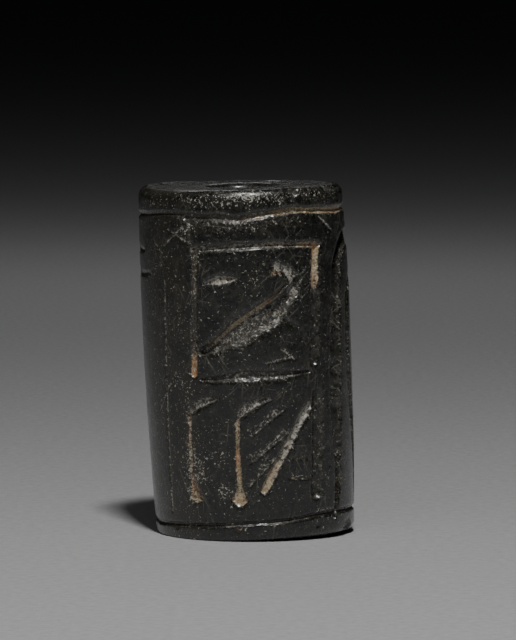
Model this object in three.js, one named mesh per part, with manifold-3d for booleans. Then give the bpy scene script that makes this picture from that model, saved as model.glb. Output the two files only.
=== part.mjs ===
// A small cylinder seal of dark stone. It is a slightly barrelled cylinder, pierced end to end for
// a cord, with a ring cut near each end, upright rules between three columns, and engraved marks.
//
// Millimetres, +Z up. The seal stands on its worn lower end and its own axis leans a little to -X.
// Places on the wall are [angle, height]: the angle in degrees runs from the front, -Y, towards +X,
// and the height in millimetres runs up the seal's own axis from its lower end.
import * as THREE from "three";
import { mergeVertices } from "three/addons/utils/BufferGeometryUtils.js";
import Module from "manifold-3d";

// The stone before it is engraved.
const LENGTH = 19.6;
const BELLY_RADIUS = 5.8;
const TOP_RADIUS = 5.66;
const FOOT_RADIUS = 5.5;
const BELLY_HEIGHT = 0.65 * LENGTH;
const TOP_ROUNDING = 0.42;
const TOP_TILT = 0.022;
const FOOT_ROUNDING = 0.66;
const OUT_OF_ROUND = 0.06;
const LEAN_DEGREES = 2.43;
const WORN_OFF_FOOT = 0.05;

// The bore, a little wider where the cord has worn its two mouths.
const BORE_RADIUS = 1.75;
const MOUTH_RADIUS = 2.15;
const MOUTH_DEPTH = 0.9;

// The engraving.
const LOW_RING = 1.15;
const HIGH_RING = 18.15;
const RING_WIDTH = 0.42;
const RING_DEPTH = 0.22;
const RING_WANDER = 0.055;
const LINE_WIDTH = 0.42;
const LINE_DEPTH = 0.2;
const THIN_LINE = 0.8 * LINE_WIDTH;
const THICK_LINE = 1.25 * LINE_WIDTH;
const RULE_WIDTH = 1.0;
const RULE_DEPTH = 0.34;

// Facets.
const WALL_SEGMENTS = 80;
const WALL_RINGS = 8;
const ROUNDING_STEPS = 3;
const BORE_SEGMENTS = 32;
const GOUGE_SIDES = 8;
const STATION_STEP = 1.1;
const WELD = 1e-4;
const SLIVER = 0.002;

const STONE = { color: 0x23211d, roughness: 0.42, metalness: 0 };

const wasm = await Module();
wasm.setup();

const radians = THREE.MathUtils.degToRad;

/** The wall's radius at a height, before the engraving. */
function wallRadius(height) {
  const above = height > BELLY_HEIGHT;
  const end = above ? TOP_RADIUS : FOOT_RADIUS;
  const reach = above ? LENGTH - BELLY_HEIGHT : BELLY_HEIGHT;
  const share = (height - BELLY_HEIGHT) / reach;
  return BELLY_RADIUS - (BELLY_RADIUS - end) * share * share;
}

/** How far the hand-shaped wall stands out of a true circle, at an angle in radians. */
function unevenness(angle, height) {
  const twist = height / LENGTH;
  return -OUT_OF_ROUND * (Math.cos(2 * angle + twist) + 0.6 * Math.sin(3 * angle - 2 * twist));
}

/** A closed geometry as a manifold-3d solid. */
function solidOf(geometry) {
  const bare = new THREE.BufferGeometry();
  bare.setAttribute("position", geometry.getAttribute("position"));
  bare.setIndex(geometry.getIndex());
  const welded = mergeVertices(bare, WELD);
  const corners = welded.getIndex().array;
  const kept = [];
  for (let i = 0; i < corners.length; i += 3) {
    const [a, b, c] = corners.slice(i, i + 3);
    if (a !== b && b !== c && c !== a) kept.push(a, b, c);
  }
  return new wasm.Manifold(
    new wasm.Mesh({
      numProp: 3,
      vertProperties: new Float32Array(welded.getAttribute("position").array),
      triVerts: new Uint32Array(kept),
    }),
  );
}

/** A manifold-3d solid as a geometry. */
function geometryOf(solid) {
  const { vertProperties, triVerts } = solid.getMesh();
  const geometry = new THREE.BufferGeometry();
  geometry.setAttribute("position", new THREE.BufferAttribute(vertProperties, 3));
  geometry.setIndex(new THREE.BufferAttribute(triVerts, 1));
  geometry.computeVertexNormals();
  return geometry;
}

/** Moves each vertex of a geometry to where a function of it says. */
function reshaped(geometry, moved) {
  const places = geometry.getAttribute("position");
  const place = new THREE.Vector3();
  for (let i = 0; i < places.count; i++) {
    place.copy(moved(place.fromBufferAttribute(places, i)));
    places.setXYZ(i, place.x, place.y, place.z);
  }
  return geometry;
}

/** A profile of [radius, height] pairs turned round the Z axis. */
function turned(profile, segments) {
  const points = profile.map(([radius, height]) => new THREE.Vector2(radius, height));
  return new THREE.LatheGeometry(points, segments).rotateX(Math.PI / 2);
}

/** Quarter-round [radius, height] points from an end of the stone to the wall. */
function rounding(endHeight, wallHeight) {
  const size = Math.abs(wallHeight - endHeight);
  const points = [];
  for (let i = 0; i <= ROUNDING_STEPS; i++) {
    const angle = (Math.PI / 2) * (i / ROUNDING_STEPS);
    const radius = wallRadius(wallHeight) - size * (1 - Math.sin(angle));
    points.push([radius, endHeight + (wallHeight - endHeight) * (1 - Math.cos(angle))]);
  }
  return points;
}

/** How far the top end, which isn't square to the axis, stands above or below its own middle. */
function topTilt(place) {
  const share = Math.max(0, (place.z - BELLY_HEIGHT) / (LENGTH - BELLY_HEIGHT));
  return -TOP_TILT * place.x * share * share;
}

/** The plain stone: a barrelled cylinder with rounded ends, slightly out of round. */
function blank() {
  const low = FOOT_ROUNDING;
  const high = LENGTH - TOP_ROUNDING;
  const wall = [];
  for (let i = 1; i < WALL_RINGS; i++) {
    const height = low + ((high - low) * i) / WALL_RINGS;
    wall.push([wallRadius(height), height]);
  }
  const foot = rounding(0, low);
  const top = rounding(LENGTH, high).reverse();
  const stone = turned([[0, 0], ...foot, ...wall, ...top, [0, LENGTH]], WALL_SEGMENTS);
  return reshaped(stone, (place) => {
    const swell = 1 + unevenness(Math.atan2(place.x, -place.y), place.z) / BELLY_RADIUS;
    return new THREE.Vector3(place.x * swell, place.y * swell, place.z + topTilt(place));
  });
}

/** The drill that pierces the stone end to end, with its flared mouths. */
function drill() {
  const past = 1;
  const wide = MOUTH_RADIUS + ((MOUTH_RADIUS - BORE_RADIUS) / MOUTH_DEPTH) * past;
  const profile = [
    [0, -past],
    [wide, -past],
    [BORE_RADIUS, MOUTH_DEPTH],
    [BORE_RADIUS, LENGTH - MOUTH_DEPTH],
    [wide, LENGTH + past],
    [0, LENGTH + past],
  ];
  return turned(profile, BORE_SEGMENTS);
}

/** The point a given depth under the wall, where arc is measured round the belly. */
function onWall(arc, height, depth) {
  const angle = arc / BELLY_RADIUS;
  const radius = wallRadius(height) + unevenness(angle, height) - depth;
  return new THREE.Vector3(radius * Math.sin(angle), -radius * Math.cos(angle), height);
}

/** Shapes of stroke: the share of its full width that it has at a share of its length. */
const even = () => 1;
const pointed = (share) => Math.min(1, 0.25 + 1.6 * share);
const footed = (share) => 1 + 1.1 * Math.max(0, 1 - share / 0.2);
const leafShaped = (share) => 0.4 + 0.6 * Math.sin(Math.PI * Math.min(1, share * 1.05)) ** 1.5;

/**
 * The solid that one stroke of the graver takes away. It is a spindle as wide as the stroke and as
 * deep as the cut, laid along a path of [angle, height] places and wrapped round the wall.
 */
function gouge({ path, width = LINE_WIDTH, depth = LINE_DEPTH, shape = even }) {
  const flat = path.map(([angle, height]) => new THREE.Vector3(radians(angle) * BELLY_RADIUS, 0, height));
  const route = new THREE.CatmullRomCurve3(flat);
  const length = route.getLength();
  const tip = Math.min(width / 2, length / 4);
  const between = Math.max(1, Math.ceil((length - 2 * tip) / STATION_STEP));
  const stations = [0, tip / 4];
  for (let i = 0; i <= between; i++) stations.push(tip + ((length - 2 * tip) * i) / between);
  stations.push(length - tip / 4, length);

  const profile = stations.map((along) => {
    const fromEnd = Math.min(along, length - along);
    const roundness = fromEnd < tip ? Math.sqrt(1 - (1 - fromEnd / tip) ** 2) : 1;
    return new THREE.Vector2((width / 2) * roundness * shape(along / length), along);
  });
  const spindle = new THREE.LatheGeometry(profile, GOUGE_SIDES);
  return reshaped(spindle, (place) => {
    const share = THREE.MathUtils.clamp(place.y / length, 0, 1);
    const middle = route.getPointAt(share);
    const ahead = route.getTangentAt(share);
    const arc = middle.x - place.x * ahead.z;
    const height = middle.z + place.x * ahead.x;
    return onWall(arc, height, place.z * (depth / (width / 2)));
  });
}

/** A ring cut round the stone by hand, so its height wanders a little. */
function ring(middle, wander) {
  const profile = [];
  for (let i = 0; i <= GOUGE_SIDES; i++) {
    const turn = (2 * Math.PI * (i % GOUGE_SIDES)) / GOUGE_SIDES;
    const out = RING_DEPTH * Math.cos(turn);
    profile.push([wallRadius(middle) + out, middle + (RING_WIDTH / 2) * Math.sin(turn)]);
  }
  return reshaped(turned(profile, WALL_SEGMENTS), (place) => {
    const angle = Math.atan2(place.x, -place.y);
    const swell = 1 + unevenness(angle, middle) / BELLY_RADIUS;
    const shift = wander * (Math.cos(angle - 1.1) + 0.7 * Math.cos(3 * angle + 0.4));
    return new THREE.Vector3(place.x * swell, place.y * swell, place.z + shift);
  });
}

/** The four lines of a panel between two angles and two heights, narrowing a little downwards. */
function panel({ left, right, bottom, top, narrowing = 2 }) {
  const middle = (left + right) / 2;
  const lowLeft = left - narrowing / 2;
  const lowRight = right - 2 * narrowing;
  return [
    gouge({ path: [[left, top], [middle, top + 0.06], [right, top - 0.1]] }),
    gouge({ path: [[lowLeft, bottom], [middle, bottom - 0.08], [lowRight, bottom]] }),
    gouge({ path: [[lowLeft, bottom], [left, top]] }),
    gouge({ path: [[lowRight, bottom], [right, top]], width: THICK_LINE }),
  ];
}

/** An upright stroke with a widened foot, whose head bends over towards higher angles. */
function bentStroke({ angle, foot, bend, reach, rise }) {
  const neck = [angle + 0.6, bend];
  const upright = [[angle + 1.5, foot], [angle, (foot + bend) / 2], neck];
  const head = [neck, [angle + 0.35 * reach, bend + 0.65 * rise], [angle + reach, bend + rise]];
  return [
    gouge({ path: upright, width: THIN_LINE, shape: footed }),
    gouge({ path: head, depth: 0.8 * LINE_DEPTH }),
  ];
}

/** Level bars one above another. */
function bars({ left, right, lowest, highest, count }) {
  const made = [];
  for (let i = 0; i < count; i++) {
    const height = lowest + ((highest - lowest) * i) / (count - 1);
    made.push(gouge({ path: [[left, height], [right, height + 0.05]], depth: 0.8 * LINE_DEPTH }));
  }
  return made;
}

/** A broad rule, deeper than the other strokes, that tapers to a point at its foot. */
function rule(path, width = RULE_WIDTH) {
  return gouge({ path, width, depth: RULE_DEPTH * (width / RULE_WIDTH), shape: pointed });
}

/** The front column: a panel with a leaf-shaped cut, over two bent strokes, a slant and an upright. */
function frontColumn() {
  return [
    ...panel({ left: -28.5, right: 44.5, bottom: 9.2, top: 16.5 }),
    gouge({ path: [[-25, 10.75], [8, 12.75], [31, 15]], width: 1.5, depth: 0.42, shape: leafShaped }),
    gouge({ path: [[-23, 14.55], [-3, 14.75]], width: THICK_LINE }),
    ...bentStroke({ angle: -37, foot: 2.5, bend: 7.3, reach: 19, rise: 0.9 }),
    ...bentStroke({ angle: -7.6, foot: 2.4, bend: 7, reach: 20, rise: 1.1 }),
    gouge({ path: [[6.6, 2.95], [21.5, 5.4], [35.5, 7.45]], depth: 0.24 }),
    gouge({ path: [[39.4, 2.6], [41.5, 8]], width: 0.66, depth: 0.24 }),
  ];
}

/** The second column, at the back right: two nested rules that bend over, bars and a bent stroke. */
function archedColumn() {
  return [
    rule([[54.5, 1.6], [57.4, 4], [57.4, 8], [61, 13.3], [68.5, 15.8], [97, 16.9]]),
    rule([[84, 2.2], [80, 5.5], [75.5, 9.5], [76.5, 12.6], [97, 14.6]], 0.8 * RULE_WIDTH),
    ...bars({ left: 96, right: 130, lowest: 3, highest: 5.8, count: 3 }),
    ...bentStroke({ angle: 113, foot: 7.4, bend: 12.1, reach: 18, rise: 1 }),
    gouge({ path: [[153, 2.4], [152, 9.5], [153, 16.9]], width: 0.7, depth: 0.24 }),
  ];
}

/** The third column, at the back left: a short stack of bars beside a panel, over three strokes. */
function plainColumn() {
  return [
    ...bars({ left: -98, right: -70, lowest: 15, highest: 16.3, count: 2 }),
    ...panel({ left: -172, right: -112, bottom: 9.8, top: 16.4 }),
    gouge({ path: [[-160, 11.3], [-126, 14.9]], width: 0.9, depth: 0.3, shape: leafShaped }),
    gouge({ path: [[-166, 2.8], [-150, 7.6]] }),
    gouge({ path: [[-136, 2.7], [-136, 7.8]], width: THICK_LINE }),
    gouge({ path: [[-112, 2.7], [-111, 7.4]], width: THICK_LINE }),
  ];
}

/** Flakes lost from the stone, as [angle, height, size across, depth] for each. */
function flakes() {
  const losses = [
    [70, 0.25, 1.2, 0.22],
    [91, 3.1, 0.9, 0.2],
    [118, 19.35, 1.6, 0.3],
    [-140, 0.3, 1.4, 0.26],
    [31, 19.4, 1, 0.18],
  ];
  return losses.map(([angle, height, across, depth]) => {
    const middle = radians(angle) * BELLY_RADIUS;
    const flake = new THREE.IcosahedronGeometry(across / 2, 1).scale(1, (2 * depth) / across, 0.7);
    return reshaped(flake, (place) => onWall(middle + place.x, height + place.z, place.y));
  });
}

/** The engraved, pierced seal, leaning on its worn foot with the middle of its box over the origin. */
function seal() {
  const rings = [ring(LOW_RING, RING_WANDER), ring(HIGH_RING, -RING_WANDER)];
  const cuts = [drill(), ...rings, ...frontColumn(), ...archedColumn(), ...plainColumn(), ...flakes()];
  const upright = solidOf(blank()).subtract(wasm.Manifold.union(cuts.map(solidOf)));

  const leaning = geometryOf(upright).rotateY(-radians(LEAN_DEGREES)).translate(0, 0, -WORN_OFF_FOOT);
  const below = 4 * BELLY_RADIUS;
  const floor = new THREE.BoxGeometry(below, below, below).translate(0, 0, -below / 2);
  const stood = geometryOf(solidOf(leaning).subtract(solidOf(floor)).simplify(SLIVER));

  stood.computeBoundingBox();
  const middle = stood.boundingBox.getCenter(new THREE.Vector3());
  return stood.translate(-middle.x, -middle.y, 0);
}

const body = new THREE.Mesh(seal(), new THREE.MeshStandardMaterial(STONE));
body.name = "seal_body";

const part = new THREE.Group();
part.add(body);

export default part;
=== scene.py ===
"""The looks of a small engraved cylinder seal of dark steatite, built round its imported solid.

The seal is turned, pierced, engraved and worn in its own upright frame, in millimetres. It is then
leaned onto its worn foot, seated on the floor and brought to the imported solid's place in metres.
Places on the wall are (angle, height): degrees from the front, -Y, towards +X, and millimetres up
the seal's own axis from its lower end.
"""
import logging
import math
from dataclasses import dataclass, field
from enum import Enum

import bpy
import numpy as np
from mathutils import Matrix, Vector


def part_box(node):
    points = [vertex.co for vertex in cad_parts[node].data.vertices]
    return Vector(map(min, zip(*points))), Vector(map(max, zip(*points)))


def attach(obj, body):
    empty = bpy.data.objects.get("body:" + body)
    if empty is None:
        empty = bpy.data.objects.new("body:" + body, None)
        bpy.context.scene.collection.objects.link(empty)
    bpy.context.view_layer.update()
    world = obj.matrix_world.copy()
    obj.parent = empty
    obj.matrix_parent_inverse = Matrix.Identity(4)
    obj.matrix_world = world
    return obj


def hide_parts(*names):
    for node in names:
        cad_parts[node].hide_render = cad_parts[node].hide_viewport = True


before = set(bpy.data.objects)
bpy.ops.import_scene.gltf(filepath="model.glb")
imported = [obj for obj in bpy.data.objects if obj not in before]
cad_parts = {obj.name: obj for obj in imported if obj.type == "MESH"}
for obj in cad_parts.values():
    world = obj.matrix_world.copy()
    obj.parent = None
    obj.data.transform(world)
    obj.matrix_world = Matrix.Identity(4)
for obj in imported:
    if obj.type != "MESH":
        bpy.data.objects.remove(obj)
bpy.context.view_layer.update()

MM = 0.001
LOG = logging.getLogger("cylinder_seal")

Place = tuple[float, float]
Colour = tuple[float, float, float]
Socket = bpy.types.NodeSocket


# --------------------------------------------------------------------------- the stone's form


@dataclass(frozen=True)
class Wall:
    """The outer wall of the seal before it was engraved, in millimetres."""

    length: float = 19.6
    belly: float = 5.8
    top: float = 5.66
    foot: float = 5.5
    belly_height: float = 12.74
    out_of_round: float = 0.06
    top_tilt: float = 0.022

    def radius(self, height: float) -> float:
        """Gives the wall's radius.

        Args:
            height: How far up the seal's axis, in millimetres.

        Returns:
            The radius there, in millimetres.
        """
        above = height > self.belly_height
        end = self.top if above else self.foot
        reach = self.length - self.belly_height if above else self.belly_height
        share = (height - self.belly_height) / reach
        return self.belly - (self.belly - end) * share * share

    def share_above(self, height: np.ndarray) -> np.ndarray:
        """Gives how far up from the belly to the top each height is, from 0 to 1."""
        return np.clip((height - self.belly_height) / (self.length - self.belly_height), 0.0, 1.0)

    def unevenness(self, angle: np.ndarray, height: np.ndarray) -> np.ndarray:
        """Gives how far the hand-shaped wall stands out of a true circle, at angles in radians."""
        twist = height / self.length
        waves = np.cos(2 * angle + twist) + 0.6 * np.sin(3 * angle - 2 * twist)
        return -self.out_of_round * waves

    def arc(self, angle: np.ndarray) -> np.ndarray:
        """Turns angles in degrees into millimetres round the belly."""
        return np.radians(angle) * self.belly


WALL = Wall()


def smooth_step(value: np.ndarray, low: float, high: float) -> np.ndarray:
    """Rises smoothly from 0 at low to 1 at high, or falls if low is the larger."""
    share = np.clip((value - low) / (high - low), 0.0, 1.0)
    return share * share * (3.0 - 2.0 * share)


# --------------------------------------------------------------------------- the graver's strokes


class Section(Enum):
    """The shape of a stroke across, from its middle to its edge."""

    ROUND = "round"
    VEE = "vee"
    FLAT = "flat"

    def depth(self, across: np.ndarray) -> np.ndarray:
        """Gives the share of the full depth.

        Args:
            across: 0 in the middle of the stroke and 1 at its edge.

        Returns:
            1 where the stroke is deepest and 0 at its edge and beyond.
        """
        inside = np.clip(1.0 - across, 0.0, 1.0)
        if self is Section.ROUND:
            return np.sqrt(np.clip(1.0 - across**2, 0.0, 1.0)) ** 1.4
        if self is Section.VEE:
            return inside
        return smooth_step(inside, 0.0, 0.42)


class Taper(Enum):
    """How a stroke's width changes from its start to its end."""

    EVEN = "even"
    POINTED = "pointed"
    FOOTED = "footed"
    LEAF = "leaf"
    SPIKE = "spike"

    def width(self, along: np.ndarray) -> np.ndarray:
        """Gives the share of the full width.

        Args:
            along: 0 at the stroke's start and 1 at its end.

        Returns:
            The width there, as a share of the stroke's full width.
        """
        if self is Taper.POINTED:
            return np.minimum(1.0, 0.18 + 2.4 * along) * (1.0 - 0.35 * smooth_step(along, 0.8, 1.0))
        if self is Taper.FOOTED:
            return 1.0 + 1.5 * np.clip(1.0 - along / 0.26, 0.0, 1.0) ** 1.3
        if self is Taper.LEAF:
            return 0.28 + 0.72 * np.sin(np.pi * np.clip(along * 1.02, 0.0, 1.0)) ** 1.2
        if self is Taper.SPIKE:
            return 1.0 - 0.85 * along
        return np.ones_like(along)


@dataclass(frozen=True)
class Stroke:
    """One stroke of the graver along a path on the wall."""

    path: tuple[Place, ...]
    width: float = 0.42
    depth: float = 0.2
    section: Section = Section.ROUND
    taper: Taper = Taper.EVEN
    earth: Place = (0.3, 0.3)
    grit: float = 0.5
    # pale: how whitish the stroke's floor is, partly chalky residue and partly painted highlight.
    pale: float = 0.25
    lip: float = 0.35
    unsteady: float = 0.1
    closed: bool = False

    def route(self, step: float = 0.14) -> tuple[np.ndarray, np.ndarray]:
        """Draws the path smoothly.

        Args:
            step: The longest distance between two points, in millimetres.

        Returns:
            The points as rows of (arc, height) in millimetres, and their distances along.
        """
        corners = np.array([(WALL.arc(angle), height) for angle, height in self.path])
        before = corners[:1] * 2 - corners[1:2]
        after = corners[-1:] * 2 - corners[-2:-1]
        held = np.vstack([before, corners, after])
        points = [corners[:1]]
        for a, b, c, d in zip(held, held[1:], held[2:], held[3:]):
            count = max(2, math.ceil(float(np.linalg.norm(c - b)) / step))
            t = (np.arange(1, count + 1) / count)[:, None]
            bend = (2 * a - 5 * b + 4 * c - d) * t**2 + (3 * b - a - 3 * c + d) * t**3
            points.append(b + 0.5 * ((c - a) * t + bend))
        line = np.vstack(points)
        steps = np.linalg.norm(np.diff(line, axis=0), axis=1)
        return line, np.concatenate([[0.0], np.cumsum(steps)])

    def reach(self) -> float:
        """The distance from the path at which the stroke has no more effect."""
        return 1.6 * self.width * (1.0 + self.lip) + 0.15


@dataclass(frozen=True)
class Patch:
    """A soft-edged oval on the wall where dirt, dust or wear has gathered, or where glints are painted."""

    angle: float
    height: float
    across: float
    tall: float
    amount: float = 1.0
    tilt: float = 0.0

    def cover(self, arc: np.ndarray, height: np.ndarray) -> np.ndarray:
        """Gives how much of the patch lies at each place.

        Args:
            arc: Millimetres round the belly from the front.
            height: Millimetres up the axis.

        Returns:
            The amount at the middle of the patch, falling to 0 at its edge.
        """
        turn = math.radians(self.tilt)
        right = arc - WALL.arc(self.angle)
        up = height - self.height
        along = (right * math.cos(turn) + up * math.sin(turn)) / (self.across / 2)
        aside = (up * math.cos(turn) - right * math.sin(turn)) / (self.tall / 2)
        return self.amount * smooth_step(np.hypot(along, aside), 1.0, 0.25)


@dataclass(frozen=True)
class Chip:
    """A flake or dent lost from the stone, centred on a point of the own upright frame."""

    angle: float
    height: float
    radius: float
    size: float
    depth: float

    def bowl(self, points: np.ndarray) -> np.ndarray:
        """The dent's depth in millimetres at each point."""
        turn = math.radians(self.angle)
        middle = np.array([self.radius * math.sin(turn), -self.radius * math.cos(turn), self.height])
        offset = (points - middle) / (self.size / 2)
        ragged = 0.18 * np.sin(7.0 * offset[:, 0] + self.angle) * np.cos(6.0 * offset[:, 2] - self.angle)
        return self.depth * smooth_step(np.linalg.norm(offset, axis=1) + ragged, 1.0, 0.45)


@dataclass
class Marks:
    """What the engraver and the years did at each vertex, and where light is painted, as arrays of one value per
    vertex.
    """

    depth: np.ndarray
    grit: np.ndarray
    earth: np.ndarray
    rub: np.ndarray
    pale: np.ndarray
    dust_and_glint: np.ndarray
    film_and_sheen: np.ndarray


@dataclass
class Engraving:
    """Every stroke, dent and patch of dirt on the seal, and the patches of pale specks that partly paint glints."""

    strokes: list[Stroke] = field(default_factory=list)
    chips: list[Chip] = field(default_factory=list)
    dusty_and_glinting: list[Patch] = field(default_factory=list)
    stained: list[Patch] = field(default_factory=list)

    def cut_rings(self) -> None:
        """Adds the ring near each end, whose heights wander as the hand did."""
        top = ((-180, 18.2), (-140, 18.12), (-105, 18.2), (-72, 18.3), (-46, 18.38), (-33, 18.3))
        self.strokes.append(Stroke(top, 0.26, 0.14, earth=(0.1, 0.25), grit=0.5))
        front = ((-33, 18.2), (-20, 18.15), (-11, 18.1), (-3, 17.98), (5, 18.1), (14, 18.2), (22, 18.27),
                 (32, 18.32), (54, 18.18), (69, 18.11))
        self.strokes.append(Stroke(front, 0.4, 0.2, earth=(0.35, 0.95), grit=0.8))
        back = ((69, 18.11), (100, 18.2), (140, 18.26), (180, 18.2))
        self.strokes.append(Stroke(back, 0.36, 0.18, earth=(0.9, 0.2), grit=0.5))
        under = ((-28, 17.98), (-10, 17.86), (0, 17.78), (12, 17.95), (30, 18.1))
        self.strokes.append(Stroke(under, 0.7, 0.05, earth=(0, 0), grit=0.3, unsteady=0.2))
        low = ((-180, 1.1), (-120, 1.18), (-80, 1.02), (-50, 1.05), (-26, 1.05), (0, 1.12), (18, 1.15),
               (42, 1.33), (72, 1.33), (100, 1.2), (140, 1.12), (180, 1.1))
        self.strokes.append(Stroke(low, 0.26, 0.15, earth=(0.05, 0.05), grit=0.45))

    def cut_panel(self) -> None:
        """Adds the front panel's frame, with its gaps, spike and the plain band over it."""
        self.strokes += [
            Stroke(((-29.5, 16.42), (-6, 16.48), (16, 16.5), (41, 16.36), (47, 16.3)), 0.34, 0.2,
                   Section.FLAT, earth=(0.25, 0.75), grit=0.8, pale=0.7),
            Stroke(((-27, 9.2), (-18, 9.22), (-4, 9.34), (6, 9.32), (18, 9.3), (36, 9.35)), 0.56, 0.2,
                   Section.ROUND, Taper.LEAF, earth=(0.15, 0.1), grit=0.7, pale=0.5, lip=0.5),
            Stroke(((-28.4, 16.4), (-28.1, 15.2), (-28.6, 13.5), (-29.5, 11.9)), 0.34, 0.17,
                   Section.FLAT, earth=(0.6, 0.2), grit=0.7, pale=0.2),
            Stroke(((-29.5, 11.9), (-30.8, 10.3), (-31.4, 9.5)), 0.4, 0.19, Section.FLAT,
                   earth=(0.25, 1.0), grit=0.7, pale=0.4),
            Stroke(((44.8, 16.2), (43.9, 15.4), (42.8, 14.2)), 0.56, 0.24, Section.ROUND, earth=(1.1, 0.7),
                   grit=0.8, pale=0.9),
            Stroke(((42.8, 14.2), (42, 13.2), (40.8, 11.5), (39.8, 9.9)), 0.6, 0.22, Section.ROUND,
                   earth=(0.3, 0.1), grit=0.35, pale=0.2, lip=0.12),
            Stroke(((8.1, 9.1), (8.2, 8.25)), 0.32, 0.16, Section.VEE, Taper.SPIKE, (0, 0), 0.4),
            Stroke(((-30.5, 17.9), (-31, 17.2), (-30.2, 16.5)), 0.24, 0.09, earth=(0.3, 0.4), grit=0.7),
        ]

    def cut_panel_sign(self) -> None:
        """Adds the marks in the front panel: a broad leaf, a short stroke, a hook and a wedge."""
        self.strokes += [
            Stroke(((-25.5, 10.72), (-16.5, 11.1), (-1, 11.95), (15, 12.75), (25, 13.6), (31, 14.5)),
                   1.5, 0.4, Section.FLAT, Taper.LEAF, (0.25, 0.15), 1.0, 0.55, 0.2),
            Stroke(((-21, 11.0), (-12, 11.75), (-3.7, 12.35), (6, 12.95), (14.5, 13.5), (24, 14.3)),
                   0.3, 0.3, Section.ROUND, Taper.LEAF, (0.7, 0.9), 0.6, 0.9, 0.1, 0.03),
            Stroke(((-22.5, 14.5), (-15, 14.66), (-4.5, 14.74)), 0.6, 0.18, Section.ROUND, Taper.LEAF,
                   (0.3, 0.5), 0.9, 0.9),
            Stroke(((19, 15.3), (25, 15.0), (28, 14.4), (28.3, 13.7)), 0.5, 0.13, earth=(0.2, 0.1),
                   grit=1.0, pale=0.8),
            Stroke(((19, 12.7), (24, 12.25), (30, 11.9)), 0.5, 0.12, Section.VEE, Taper.SPIKE, (0.4, 0), 0.2),
        ]

    def cut_bent_stroke(self, angle: float, foot: float, bend: float, head: tuple[Place, ...],
                        lean: float = 2.0, width: float = 0.32, earth: float = 0.9) -> None:
        """Adds an upright with a widened foot and a head that bends over to the right.

        Args:
            angle: Where the upright stands, in degrees.
            foot: The height of its foot.
            bend: The height at which the head leaves it.
            head: The places along the head.
            lean: How far the foot stands to the right of the middle, in degrees.
            width: The upright's width in millimetres.
            earth: How much earth the upright holds.
        """
        middle = (foot + bend) / 2
        upright = ((angle + lean, foot), (angle + 0.4, foot + 0.9), (angle, middle), (angle + 0.6, bend))
        self.strokes += [
            Stroke(upright, width, 0.2, Section.ROUND, Taper.FOOTED, (earth, 0.8 * earth), 0.8, 0.75, 0.3),
            Stroke(((angle + lean - 3.2, foot + 0.02), (angle + lean + 3.2, foot - 0.06)), 0.34, 0.16,
                   earth=(earth, earth), grit=1.0, pale=0.8),
            Stroke(((angle + 0.6, bend - 0.1), *head), 0.52, 0.15, Section.ROUND, Taper.LEAF,
                   (0.6 * earth, 0.3 * earth), 0.9, 0.7, 0.5),
        ]

    def cut_front_row(self) -> None:
        """Adds the row under the panel: two bent strokes, a slant, an upright, hatching and ticks."""
        self.cut_bent_stroke(-36.6, 2.6, 7.2, ((-33, 7.6), (-27, 7.9), (-17.5, 8.2)), 2.6, 0.32, 0.7)
        self.cut_bent_stroke(-7.6, 2.45, 6.8, ((-6.2, 7.05), (-2.5, 7.5), (3, 7.78), (12.5, 8.06)), 0, 0.3)
        self.strokes += [
            Stroke(((6.7, 2.9), (16, 4.5), (28.5, 6.5), (35.5, 7.45)), 0.5, 0.2, Section.FLAT,
                   earth=(0.9, 0.1), grit=0.9, pale=0.95, lip=0.3),
            Stroke(((39.2, 2.55), (40.6, 4.9), (41.5, 7.98)), 0.72, 0.3, Section.ROUND,
                   earth=(0.3, 0.05), grit=0.25, pale=0.2, lip=0.1, unsteady=0.04),
        ]
        self.hatch((1, 6.25), (17.5, 7.4), 4, 0.42)
        self.hatch((0, 4.6), (20, 6.25), 4, 0.36)
        self.hatch((-1, 3.4), (12, 4.7), 3, 0.36)
        for angle, height, length in ((23, 4.62, 11), (22, 3.55, 4), (29, 3.45, 5)):
            self.strokes.append(Stroke(((angle, height), (angle + length, height - 0.06)), 0.14, 0.06,
                                       earth=(0.5, 0.2), grit=0.5))

    def hatch(self, start: Place, end: Place, count: int, spread: float) -> None:
        """Adds fine slanting scratches side by side.

        Args:
            start: The lower end of the middle scratch.
            end: The upper end of the middle scratch.
            count: How many scratches there are.
            spread: How far apart the outer two are, in millimetres.
        """
        for number in range(count):
            up = spread * (number / (count - 1) - 0.5)
            late = 2.0 * math.sin(2.3 * number + start[1])
            first = (start[0] + late, start[1] + up)
            last = (end[0] - 1.4 * late, end[1] + up * 0.5)
            self.strokes.append(Stroke((first, last), 0.15, 0.085, Section.VEE, earth=(0.1, 0.05), grit=0.5, pale=0.5,
                                       unsteady=0.3))

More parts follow.
